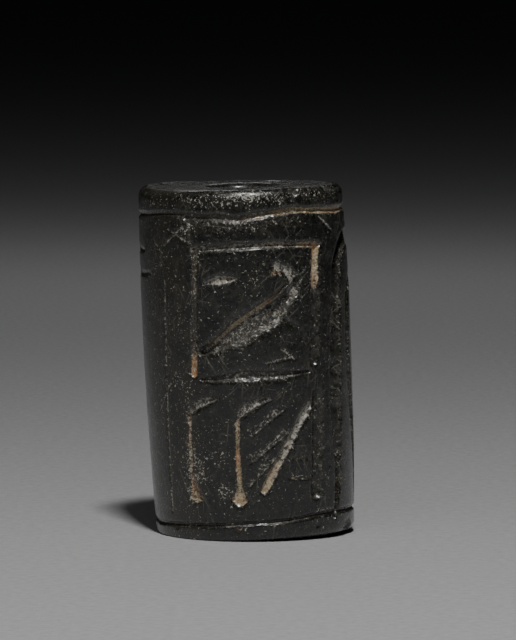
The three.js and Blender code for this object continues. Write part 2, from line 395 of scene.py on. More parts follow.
    def cut_rules(self) -> None:
        """Adds the upright rules on the right and the thin lines on the left."""
        outer = ((54.4, 1.0), (56.6, 2.2), (57.6, 3.6), (57.2, 6), (57.3, 8.5), (58.4, 10.5), (60.6, 13),
                 (62, 14.4), (65.5, 15.4), (70, 16), (78, 16.45), (98, 16.8))
        inner = ((84, 2.2), (82, 4), (79.5, 6), (76.4, 8.5), (75.2, 10.5), (75.6, 12), (80, 13.6), (97, 14.8))
        self.strokes += [
            Stroke(outer, 1.02, 0.42, Section.ROUND, Taper.POINTED, (0.1, 0.05), 0.15, 0.05, 0.06, 0.04),
            Stroke(((54.6, 1.2), (56.0, 2.1), (56.6, 3.4)), 0.26, 0.3, earth=(0.7, 0.3), grit=0.6, pale=0.7),
            Stroke(((57.4, 12.4), (58.2, 13.4), (59.4, 14.6)), 0.24, 0.3, earth=(0.8, 0.8), grit=0.5,
                   pale=0.7),
            Stroke(inner, 0.8, 0.3, Section.ROUND, Taper.POINTED, (0.1, 0.1), 0.2, 0.05, 0.06, 0.04),
            Stroke(((-50.5, 14.6), (-51, 12), (-52, 9.6), (-53, 6), (-54, 1.7)), 0.16, 0.06,
                   earth=(0.1, 0.5), grit=0.6, pale=0.7),
            Stroke(((-82, 16.3), (-74, 16.28)), 0.26, 0.07, earth=(0.2, 0.1), grit=0.3),
            Stroke(((-80, 14.95), (-66, 15.0)), 0.3, 0.06, earth=(0.2, 0.1), grit=0.3),
            Stroke(((84, 16.2), (98, 16.2)), 0.5, 0.1, earth=(0.1, 0.1), grit=0.3),
        ]
        for number, height in enumerate((15.7, 15.1, 14.4, 13.2, 12.6, 11.7)):
            angle = -40 - 0.9 * math.sin(number)
            self.strokes.append(Stroke(((angle, height), (angle - 0.4, height - 0.36)), 0.13, 0.05,
                                       earth=(0.4, 0.4), grit=0.8))

    def scratch_surface(self) -> None:
        """Adds the few long scratches that are deep enough to be felt."""
        for path in (((-50, 16.6), (-36, 17.6)), ((-46, 17.5), (-30, 16.7)), ((-60, 16.9), (-52, 16.1)),
                     ((48, 17.9), (60, 17.0)), ((10, 10.0), (24, 10.2)), ((20, 10.7), (27, 10.1)),
                     ((-90, 9), (-104, 11.8)), ((-60, 7.4), (-44, 9.6)), ((128, 13.5), (146, 15.2)),
                     ((-150, 4.4), (-128, 6.1)), ((160, 12), (172, 9.2)), ((-33, 3.9), (-38, 3.0))):
            self.strokes.append(Stroke(path, 0.12, 0.05, Section.VEE, earth=(0.1, 0.1), grit=0.5, pale=0.7))

    def cut_arched_column(self) -> None:
        """Adds the second column, at the back right: bars, a bent stroke and the rule after them."""
        self.cut_bars(96, 130, 3.0, 5.8, 3)
        self.cut_bent_stroke(113, 7.4, 12.1, ((119, 12.7), (131, 13.1)), earth=0.4)
        rule = ((153, 2.4), (152, 6), (152, 9.5), (152.4, 13), (153, 16.9))
        self.strokes.append(Stroke(rule, 0.7, 0.25, earth=(0.3, 0.2), grit=0.35, lip=0.2, unsteady=0.05))

    def cut_plain_column(self) -> None:
        """Adds the third column, at the back left: bars beside a panel, over three strokes."""
        self.cut_bars(-98, -88, 15.0, 16.3, 2)
        self.strokes += [
            Stroke(((-172, 16.4), (-142, 16.46), (-112, 16.3)), 0.4, 0.2, Section.FLAT, earth=(0.3, 0.3)),
            Stroke(((-173, 9.8), (-142, 9.72), (-116, 9.8)), 0.42, 0.2, earth=(0.2, 0.2)),
            Stroke(((-173, 9.8), (-172, 16.4)), 0.4, 0.19, Section.FLAT, earth=(0.3, 0.2)),
            Stroke(((-116, 9.8), (-112, 16.3)), 0.52, 0.22, earth=(0.4, 0.2)),
            Stroke(((-160, 11.3), (-143, 12.9), (-126, 14.9)), 0.9, 0.3, Section.FLAT, Taper.LEAF,
                   (0.3, 0.2), 1.0, 0.2),
            Stroke(((-166, 2.8), (-150, 7.6)), 0.42, 0.2, Section.FLAT, earth=(0.5, 0.1), grit=0.8),
            Stroke(((-136, 2.7), (-136, 7.8)), 0.52, 0.2, earth=(0.3, 0.1)),
            Stroke(((-112, 2.7), (-111, 7.4)), 0.52, 0.2, earth=(0.3, 0.1)),
        ]

    def cut_bars(self, left: float, right: float, lowest: float, highest: float, count: int) -> None:
        """Adds level bars one above another.

        Args:
            left: The angle at which the bars start.
            right: The angle at which they end.
            lowest: The lowest bar's height.
            highest: The highest bar's height.
            count: How many bars there are.
        """
        for number in range(count):
            height = lowest + (highest - lowest) * number / (count - 1)
            self.strokes.append(Stroke(((left, height), (right, height + 0.05)), 0.42, 0.17,
                                       earth=(0.3, 0.2), grit=0.5))

    def wear(self) -> None:
        """Adds the dents and flakes, the patches of earth, and patches of pale specks: partly dust, partly painted
        glints.
        """
        self.chips += [
            Chip(70, 0.25, 5.45, 1.2, 0.2), Chip(91, 3.1, 5.75, 0.9, 0.2), Chip(118, 19.35, 5.5, 1.6, 0.3),
            Chip(-140, 0.3, 5.4, 1.4, 0.26), Chip(31, 19.45, 5.5, 1.0, 0.14), Chip(88, 5.8, 5.85, 0.8, 0.12),
            Chip(-84, 19.3, 5.65, 0.8, 0.12), Chip(-20, 19.55, 5.4, 0.7, 0.07), Chip(3, 19.2, 5.7, 0.6, 0.05),
            Chip(62, 19.4, 5.5, 1.1, 0.14), Chip(-50, 0.9, 5.6, 0.5, 0.06), Chip(40, 0.7, 5.6, 0.45, 0.07),
            Chip(-10, 0.8, 5.6, 0.5, 0.06), Chip(175, 10.5, 5.85, 1.1, 0.12), Chip(12, 17.2, 5.8, 0.5, 0.05),
            Chip(150, 19.6, 3.4, 1.3, 0.08), Chip(-60, 19.65, 2.5, 0.9, 0.12), Chip(20, 19.55, 2.6, 0.8, 0.1),
        ]
        self.dusty_and_glinting += [
            Patch(-33, 4.3, 2.6, 3.4, 0.9), Patch(-16, 3.0, 1.6, 1.5, 1.0), Patch(-21, 4.8, 2.4, 2.2, 0.5),
            Patch(-40, 8.6, 3.0, 2.6, 0.45), Patch(-32, 17.4, 1.2, 1.4, 0.9), Patch(-26, 15.9, 1.6, 1.0, 0.9),
            # The patches near height 19, on the top shoulder, paint specks in place of the shoulder's highlight:
            # painted highlight.
            Patch(8, 15.0, 2.4, 1.6, 0.35), Patch(0, 19.1, 12.0, 1.3, 0.9), Patch(3, 19.25, 4.6, 0.8, 1.6), Patch(55, 19.1, 6.0, 1.6, 0.8),
            Patch(25, 3.6, 2.0, 0.9, 0.5), Patch(-60, 19.0, 6.0, 1.0, 0.4), Patch(-27, 12.0, 1.0, 3.0, 0.3),
            Patch(46, 1.55, 2.6, 0.34, 1.3), Patch(-3, 17.85, 3.6, 0.5, 0.9), Patch(-100, 3, 6, 4, 0.3),
            Patch(150, 17, 6, 3, 0.3), Patch(0, 12, 3.0, 1.4, 0.5, 30), Patch(-5, 10.2, 5.0, 2.0, 0.25),
        ]
        self.stained += [
            Patch(17, 14.95, 1.7, 0.9, 0.55), Patch(24.5, 3.52, 0.5, 0.22, 1.0), Patch(-38, 5.4, 1.0, 3.4, 0.4),
            Patch(-31, 4.0, 2.2, 2.0, 0.4), Patch(42, 15.4, 0.9, 2.4, 0.6), Patch(-15, 1.0, 1.6, 0.7, 0.45),
            Patch(-9, 0.8, 0.5, 0.4, 0.5), Patch(31, 0.75, 0.4, 0.3, 0.4), Patch(35, 9.6, 2.6, 1.6, 0.22),
            Patch(-27, 2.6, 1.2, 1.0, 0.3), Patch(60, 3.0, 1.0, 1.6, 0.4), Patch(-20, 11.1, 1.6, 0.9, 0.5),
        ]

    def read(self, points: np.ndarray) -> Marks:
        """Works out what happened at each point of the stone.

        Args:
            points: The vertices in the seal's own frame, one (x, y, z) a row, in millimetres.

        Returns:
            The marks at each of them.
        """
        arc = WALL.arc(np.degrees(np.arctan2(points[:, 0], -points[:, 1])))
        height = points[:, 2]
        outside = np.hypot(points[:, 0], points[:, 1]) > 0.87 * WALL.belly
        marks = Marks(*(np.zeros(len(points)) for _ in range(7)))
        for number, stroke in enumerate(self.strokes):
            self._cut(marks, stroke, number, arc, height, outside)
        for chip in self.chips:
            marks.depth += chip.bowl(points)
            marks.grit = np.maximum(marks.grit, 0.5 * np.clip(chip.bowl(points) / chip.depth, 0.0, 1.0))
        for patch in self.dusty_and_glinting:
            marks.dust_and_glint = np.maximum(marks.dust_and_glint, patch.cover(arc, height))
        for patch in self.stained:
            marks.earth = np.maximum(marks.earth, patch.cover(arc, height))
        # The left side, from about -24 to -120 degrees, is made lighter: partly a dust film, partly painted sheen.
        left = smooth_step(arc, WALL.arc(-24.0), WALL.arc(-40.0)) * smooth_step(arc, WALL.arc(-120), WALL.arc(-80))
        marks.film_and_sheen = np.clip(0.6 * left + 0.3 * marks.dust_and_glint, 0.0, 1.0)
        return marks

    def _cut(self, marks: Marks, stroke: Stroke, number: int, arc: np.ndarray, height: np.ndarray,
             outside: np.ndarray) -> None:
        """Adds one stroke's marks.

        Args:
            marks: What is known so far, which is added to.
            stroke: The stroke.
            number: Its place in the list, which sets its own unsteadiness.
            arc: Each vertex's arc in millimetres.
            height: Each vertex's height in millimetres.
            outside: Which vertices are on the outer wall.
        """
        line, along = stroke.route()
        reach = stroke.reach()
        low, high = line.min(axis=0) - reach, line.max(axis=0) + reach
        near = outside & (arc > low[0]) & (arc < high[0]) & (height > low[1]) & (height < high[1])
        chosen = np.flatnonzero(near)
        if not chosen.size:
            return
        best = np.full(chosen.size, np.inf)
        share = np.zeros(chosen.size)
        for a, b, start, end in zip(line, line[1:], along, along[1:]):
            span = b - a
            right, up = arc[chosen] - a[0], height[chosen] - a[1]
            t = np.clip((right * span[0] + up * span[1]) / max(float(span @ span), 1e-9), 0.0, 1.0)
            away = np.hypot(right - t * span[0], up - t * span[1])
            closer = away < best
            best[closer] = away[closer]
            share[closer] = ((start + t * (end - start)) / along[-1])[closer]
        travel = share * along[-1]
        shake = np.sin(travel * 3.1 + number) + 0.6 * np.sin(travel * 9.7 + 2.0 * number)
        half = stroke.width / 2 * stroke.taper.width(share) * (1.0 + stroke.unsteady * shake)
        across = best / half
        skirt = smooth_step(across, 1.0 + 2.0 * stroke.lip, 1.0 - 0.3 * stroke.lip)
        cut = 0.84 * stroke.section.depth(across) + 0.16 * skirt
        depth = stroke.depth * cut * (1.0 + 0.8 * stroke.unsteady * np.sin(travel * 5.3 + 3.0 * number))
        inside = smooth_step(across, 1.12, 0.8)
        earth = inside * np.interp(share, (0.0, 1.0), stroke.earth)
        rub = smooth_step(across, 1.0 + 1.5 * stroke.lip + 0.3, 1.0) * smooth_step(across, 0.7, 0.95)
        marks.depth[chosen] = np.maximum(marks.depth[chosen], depth)
        marks.grit[chosen] = np.maximum(marks.grit[chosen], inside * stroke.grit)
        marks.earth[chosen] = np.maximum(marks.earth[chosen], earth)
        marks.rub[chosen] = np.maximum(marks.rub[chosen], rub)
        marks.pale[chosen] = np.maximum(marks.pale[chosen], inside * stroke.pale)


def whole_engraving() -> Engraving:
    """Gives the seal's whole design: front column, rules, hidden columns and wear."""
    design = Engraving()
    design.cut_rings()
    design.cut_panel()
    design.cut_panel_sign()
    design.cut_front_row()
    design.cut_rules()
    design.cut_arched_column()
    design.cut_plain_column()
    design.scratch_surface()
    design.wear()
    return design


# --------------------------------------------------------------------------- finishes


class Bench:
    """A workbench for one material's nodes, whose methods give back output sockets."""

    def __init__(self, name: str) -> None:
        """Starts a material with an empty node tree.

        Args:
            name: The material's name.
        """
        self.material = bpy.data.materials.new(name)
        self.material.use_nodes = True
        self.tree = self.material.node_tree
        self.tree.nodes.clear()

    def node(self, kind: str, **settings: object) -> bpy.types.Node:
        """Adds a node of a kind and sets its properties."""
        made = self.tree.nodes.new(kind)
        for name, value in settings.items():
            setattr(made, name, value)
        return made

    def feed(self, socket: Socket, value: object) -> None:
        """Links a socket to an input, or sets the input's value."""
        if isinstance(value, bpy.types.NodeSocket):
            self.tree.links.new(value, socket)
        else:
            socket.default_value = value

    def mark(self, name: str) -> Socket:
        """Reads one of the piece's own attributes as a number."""
        return self.node("ShaderNodeAttribute", attribute_name=name).outputs["Fac"]

    def sum(self, kind: str, first: object, second: object = 0.0, clamp: bool = False) -> Socket:
        """Does arithmetic on numbers.

        Args:
            kind: A Math node's operation.
            first: A socket or a number.
            second: A socket or a number.
            clamp: Whether the result is kept between 0 and 1.

        Returns:
            The result.
        """
        made = self.node("ShaderNodeMath", operation=kind, use_clamp=clamp)
        self.feed(made.inputs[0], first)
        self.feed(made.inputs[1], second)
        return made.outputs[0]

    def span(self, value: Socket, low: float, high: float, start: float = 0.0, end: float = 1.0) -> Socket:
        """Maps low..high smoothly onto start..end."""
        made = self.node("ShaderNodeMapRange", interpolation_type="SMOOTHSTEP")
        for socket, number in zip(made.inputs, (value, low, high, start, end)):
            self.feed(socket, number)
        return made.outputs[0]

    def noise(self, place: Socket, size: float, detail: float = 3.0, rough: float = 0.5,
              twist: float = 0.0) -> Socket:
        """Gives a cloudy noise.

        Args:
            place: Where to read it, in millimetres.
            size: About how far apart its blotches are, in millimetres.
            detail: How many finer octaves it has.
            rough: How strong they are.
            twist: How much it is distorted.

        Returns:
            The noise, about 0.5 on average.
        """
        made = self.node("ShaderNodeTexNoise")
        self.feed(made.inputs["Vector"], place)
        for name, number in (("Scale", 1.0 / size), ("Detail", detail), ("Roughness", rough),
                             ("Distortion", twist)):
            made.inputs[name].default_value = number
        return made.outputs["Fac"]

    def blend(self, share: object, first: object, second: object) -> Socket:
        """Mixes two colours, where a share of 1 gives the second."""
        made = self.node("ShaderNodeMix", data_type="RGBA", clamp_factor=True)
        self.feed(made.inputs["Factor"], share)
        for socket, colour in ((made.inputs[6], first), (made.inputs[7], second)):
            self.feed(socket, (*colour, 1.0) if isinstance(colour, tuple) else colour)
        return made.outputs[2]

    def ease(self, share: object, first: object, second: object) -> Socket:
        """Mixes two numbers, where a share of 1 gives the second."""
        made = self.node("ShaderNodeMix", data_type="FLOAT", clamp_factor=True)
        self.feed(made.inputs["Factor"], share)
        self.feed(made.inputs[2], first)
        self.feed(made.inputs[3], second)
        return made.outputs[0]

    def turn(self, place: Socket, degrees: float, scale: tuple[float, float, float]) -> Socket:
        """Turns a flat place about its third axis, then stretches it."""
        turned = self.node("ShaderNodeMapping", vector_type="POINT")
        self.feed(turned.inputs["Vector"], place)
        turned.inputs["Rotation"].default_value = (0.0, 0.0, math.radians(degrees))
        drawn = self.node("ShaderNodeMapping", vector_type="POINT")
        self.feed(drawn.inputs["Vector"], turned.outputs[0])
        drawn.inputs["Scale"].default_value = scale
        return drawn.outputs[0]

    def finish(self, shader: bpy.types.Node, height: Socket) -> bpy.types.Material:
        """Gives the shader its relief and ends the tree.

        Args:
            shader: The surface shader.
            height: The relief in millimetres.

        Returns:
            The material.
        """
        relief = self.node("ShaderNodeBump")
        relief.inputs["Strength"].default_value = 1.0
        relief.inputs["Distance"].default_value = MM
        self.feed(relief.inputs["Height"], height)
        self.feed(shader.inputs["Normal"], relief.outputs[0])
        output = self.node("ShaderNodeOutputMaterial")
        self.tree.links.new(shader.outputs[0], output.inputs["Surface"])
        return self.material


@dataclass(frozen=True)
class WornSteatite:
    """Dark steatite, hand polished, with dust, earth in its cuts and rough, glinting floors; painted sheen, glints
    and highlights are part of its colour.
    """

    dark: Colour = (0.0080, 0.0086, 0.0083)
    olive: Colour = (0.0200, 0.0190, 0.0130)
    # Lighter olive tint of the left side: partly dust film, partly painted sheen.
    film_and_sheen: Colour = (0.045, 0.040, 0.027)
    rubbed: Colour = (0.16, 0.15, 0.12)
    floor: Colour = (0.055, 0.049, 0.036)
    # Whitish groove floors: partly chalky residue, partly painted highlight where the floors catch the light.
    chalk_and_highlight: Colour = (0.68, 0.65, 0.56)
    # Pale specks: partly dust, partly painted glints.
    speck_and_glint: Colour = (0.80, 0.77, 0.66)
    tan: Colour = (0.60, 0.43, 0.23)
    rust: Colour = (0.50, 0.255, 0.10)
    moss: Colour = (0.36, 0.335, 0.16)
    gloss: float = 0.26
    dull: float = 0.5
    polish: float = 0.8
    polish_roughness: float = 0.2

    def own_place(self, bench: Bench, foot: Vector, lean: float) -> Socket:
        """Gives places in the seal's own upright frame, in millimetres.

        Args:
            bench: The material's workbench.
            foot: Where the foot of the seal's axis stands, in millimetres.
            lean: The seal's lean in radians.

        Returns:
            The place.
        """
        coordinates = bench.node("ShaderNodeTexCoord")
        upright = bench.node("ShaderNodeMapping", vector_type="POINT")
        bench.feed(upright.inputs["Vector"], coordinates.outputs["Object"])
        upright.inputs["Scale"].default_value = (1 / MM, 1 / MM, 1 / MM)
        upright.inputs["Rotation"].default_value = (0.0, lean, 0.0)
        x = foot.x * math.cos(lean) + foot.z * math.sin(lean)
        z = foot.z * math.cos(lean) - foot.x * math.sin(lean)
        upright.inputs["Location"].default_value = (-x, -foot.y, -z)
        return upright.outputs[0]

    def unrolled(self, bench: Bench, place: Socket) -> Socket:
        """Unrolls the wall: arc, height and distance from the axis, in millimetres."""
        parts = bench.node("ShaderNodeSeparateXYZ")
        bench.feed(parts.inputs[0], place)
        x, y, z = parts.outputs
        front = bench.sum("MULTIPLY", y, -1.0)
        arc = bench.sum("MULTIPLY", bench.sum("ARCTAN2", x, front), WALL.belly)
        out = bench.sum("SQRT", bench.sum("ADD", bench.sum("MULTIPLY", x, x), bench.sum("MULTIPLY", y, y)))
        flat = bench.node("ShaderNodeCombineXYZ")
        for socket, value in zip(flat.inputs, (arc, z, out)):
            bench.feed(socket, value)
        return flat.outputs[0]

    def scratches(self, bench: Bench, flat: Socket) -> Socket:
        """Fine scratches in several directions, 1 on a scratch and 0 beside it."""
        total = None
        for degrees, fine, rare in ((62, 11.0, 0.66), (-38, 13.0, 0.68), (8, 9.0, 0.70), (96, 12.0, 0.67),
                                    (-70, 16.0, 0.69)):
            drawn = bench.turn(flat, degrees, (0.55, fine, 1.0))
            lines = bench.noise(drawn, 1.0, 1.0, 0.4)
            cut = bench.span(lines, rare, rare + 0.05)
            total = cut if total is None else bench.sum("MAXIMUM", total, cut)
        worn = bench.span(bench.noise(flat, 1.9, 2.0), 0.42, 0.62)
        return bench.sum("MULTIPLY", total, worn)

    def build(self, foot: Vector, lean: float) -> bpy.types.Material:
        """Makes the material.

        Args:
            foot: Where the foot of the seal's axis stands, in millimetres.
            lean: The seal's lean in radians.

        Returns:
            The material.
        """
        bench = Bench("worn_steatite")
        place = self.own_place(bench, foot, lean)
        flat = self.unrolled(bench, place)
        grit, earth, rub = bench.mark("grit"), bench.mark("earth"), bench.mark("rub")
        dust_and_glint, film_and_sheen, pale = bench.mark("dust_and_glint"), bench.mark("film_and_sheen"), bench.mark("pale")

        coarse = bench.noise(place, 1.3, 4.0, 0.55, 0.6)
        mottle = bench.noise(place, 0.28, 4.0, 0.6)
        fine = bench.noise(place, 0.085, 2.0, 0.6)
        crisp = bench.noise(place, 0.11, 1.0, 0.5, 0.8)
        scratch = self.scratches(bench, flat)

        colour = bench.blend(bench.span(mottle, 0.4, 0.68), self.dark, self.olive)
        # The left side's lighter tint: partly dust film, partly painted sheen.
        film_and_sheen_cover = bench.sum("MULTIPLY", film_and_sheen, bench.span(coarse, 0.3, 0.7, 0.15, 0.9))
        colour = bench.blend(film_and_sheen_cover, colour, self.film_and_sheen)
        colour = bench.blend(bench.sum("MULTIPLY", scratch, 0.6), colour, self.rubbed)
        rubbing = bench.sum("MULTIPLY", rub, bench.span(crisp, 0.5, 0.62, 0.0, 0.6))
        colour = bench.blend(rubbing, colour, self.rubbed)
        rough_floor = bench.sum("MULTIPLY", grit, bench.span(fine, 0.35, 0.6, 0.35, 1.0))
        colour = bench.blend(rough_floor, colour, self.floor)

        # Pale specks, denser where the dust mark is: partly dust, partly painted glints.
        strewn = bench.sum("ADD", bench.sum("MULTIPLY", dust_and_glint, 0.13), bench.sum("MULTIPLY", film_and_sheen, 0.035))
        strewn = bench.sum("ADD", strewn, bench.sum("MULTIPLY", rub, 0.02))
        strewn = bench.sum("ADD", strewn, bench.sum("MULTIPLY", bench.sum("SUBTRACT", coarse, 0.5), 0.12))
        speck_and_glint = bench.span(bench.sum("ADD", crisp, strewn), 0.705, 0.76)
        colour = bench.blend(bench.sum("MULTIPLY", speck_and_glint, 0.6), colour, self.speck_and_glint)

        # Whitish floors of the strokes, by the pale mark: partly chalky residue, partly painted highlight.
        chalk_and_highlight_share = bench.sum("ADD", bench.sum("MULTIPLY", pale, 0.5), bench.sum("SUBTRACT", crisp, 0.5))
        chalk_and_highlight_share = bench.span(bench.sum("ADD", chalk_and_highlight_share, bench.sum("SUBTRACT", mottle, 0.5)), 0.22, 0.6)
        colour = bench.blend(bench.sum("MULTIPLY", chalk_and_highlight_share, 0.75), colour, self.chalk_and_highlight)

        patchy = bench.sum("ADD", bench.sum("MULTIPLY", mottle, 0.8), bench.sum("MULTIPLY", coarse, 0.5))
        packed = bench.sum("ADD", earth, bench.sum("SUBTRACT", patchy, 1.0))
        packed = bench.sum("ADD", packed, bench.sum("MULTIPLY", bench.sum("SUBTRACT", crisp, 0.5), 0.9))
        held = bench.span(packed, 0.05, 0.6)
        soil = bench.blend(bench.span(coarse, 0.46, 0.62), self.tan, self.rust)
        soil = bench.blend(bench.span(bench.noise(place, 0.9, 2.0), 0.5, 0.66, 0.0, 0.75), soil, self.moss)
        soil = bench.blend(bench.span(crisp, 0.5, 0.7, 0.0, 0.7), soil, self.speck_and_glint)
        colour = bench.blend(bench.sum("MULTIPLY", held, 0.8), colour, soil)

        gloss = bench.span(mottle, 0.3, 0.7, self.gloss - 0.06, self.gloss + 0.1)
        gloss = bench.ease(film_and_sheen_cover, gloss, 0.45)
        gloss = bench.ease(rough_floor, gloss, bench.span(fine, 0.3, 0.7, 0.25, self.dull))
        gloss = bench.ease(speck_and_glint, gloss, 0.5)
        gloss = bench.ease(held, gloss, 0.7)

        relief = bench.sum("MULTIPLY", bench.noise(place, 0.5, 3.0, 0.5), 0.014)
        relief = bench.sum("ADD", relief, bench.sum("MULTIPLY", mottle, 0.022))
        relief = bench.sum("ADD", relief, bench.sum("MULTIPLY", fine, 0.016))
        pits = bench.span(bench.sum("ADD", crisp, bench.sum("MULTIPLY", film_and_sheen, 0.03)), 0.60, 0.68)
        relief = bench.sum("SUBTRACT", relief, bench.sum("MULTIPLY", pits, 0.02))
        relief = bench.sum("SUBTRACT", relief, bench.sum("MULTIPLY", scratch, 0.010))
        relief = bench.sum("ADD", relief, bench.sum("MULTIPLY", speck_and_glint, 0.02))
        grain = bench.sum("MULTIPLY", bench.noise(place, 0.12, 4.0, 0.65), bench.sum("MULTIPLY", grit, 0.10))
        relief = bench.sum("ADD", relief, grain)

        shader = bench.node("ShaderNodeBsdfPrincipled")
        shader.inputs["IOR"].default_value = 1.5
        shader.inputs["Coat Weight"].default_value = self.polish
        shader.inputs["Coat Roughness"].default_value = self.polish_roughness
        bench.feed(shader.inputs["Base Color"], colour)
        bench.feed(shader.inputs["Roughness"], gloss)
        return bench.finish(shader, relief)


@dataclass(frozen=True)
class PaleCard:
    """The floor: matt pale card with a faint grain."""

    pale: Colour = (0.50, 0.50, 0.50)
    shade: Colour = (0.44, 0.44, 0.44)

    def build(self) -> bpy.types.Material:
        """Makes the material."""
        bench = Bench("pale_card")
        coordinates = bench.node("ShaderNodeTexCoord")
        scaled = bench.node("ShaderNodeMapping", vector_type="POINT")
        bench.feed(scaled.inputs["Vector"], coordinates.outputs["Object"])
        scaled.inputs["Scale"].default_value = (1 / MM, 1 / MM, 1 / MM)
        fibre = bench.noise(scaled.outputs[0], 0.5, 4.0, 0.6)
        colour = bench.blend(bench.span(fibre, 0.3, 0.7), self.shade, self.pale)
        shader = bench.node("ShaderNodeBsdfPrincipled")
        shader.inputs["Roughness"].default_value = 0.9
        shader.inputs["Specular IOR Level"].default_value = 0.2
        bench.feed(shader.inputs["Base Color"], colour)
        return bench.finish(shader, bench.sum("MULTIPLY", fibre, 0.12))


# --------------------------------------------------------------------------- modelling by hand


def deselect_all() -> None:
    """Leaves nothing selected, in object mode."""
    if bpy.context.mode != "OBJECT":
        bpy.ops.object.mode_set(mode="OBJECT")
    bpy.ops.object.select_all(action="DESELECT")


def pick(piece: bpy.types.Object) -> None:
    """Makes a piece the only one selected, and the active one."""
    deselect_all()
    piece.select_set(True)
    bpy.context.view_layer.objects.active = piece


def vertex_places(piece: bpy.types.Object) -> np.ndarray:
    """Gives a piece's vertices as rows of (x, y, z)."""
    places = np.empty(len(piece.data.vertices) * 3, dtype=np.float32)
    piece.data.vertices.foreach_get("co", places)
    return places.reshape(-1, 3).astype(float)


def choose(piece: bpy.types.Object, vertices: list[bool], edges: list[bool] | None = None) -> None:
    """Selects some of a piece's vertices, and edges if any are given, and nothing else."""
    mesh = piece.data
    mesh.polygons.foreach_set("select", [False] * len(mesh.polygons))
    mesh.edges.foreach_set("select", edges or [False] * len(mesh.edges))
    mesh.vertices.foreach_set("select", vertices)


def apply_modifier(piece: bpy.types.Object, name: str) -> None:
    """Applies one of a piece's modifiers."""
    pick(piece)
    bpy.ops.object.modifier_apply(modifier=name)


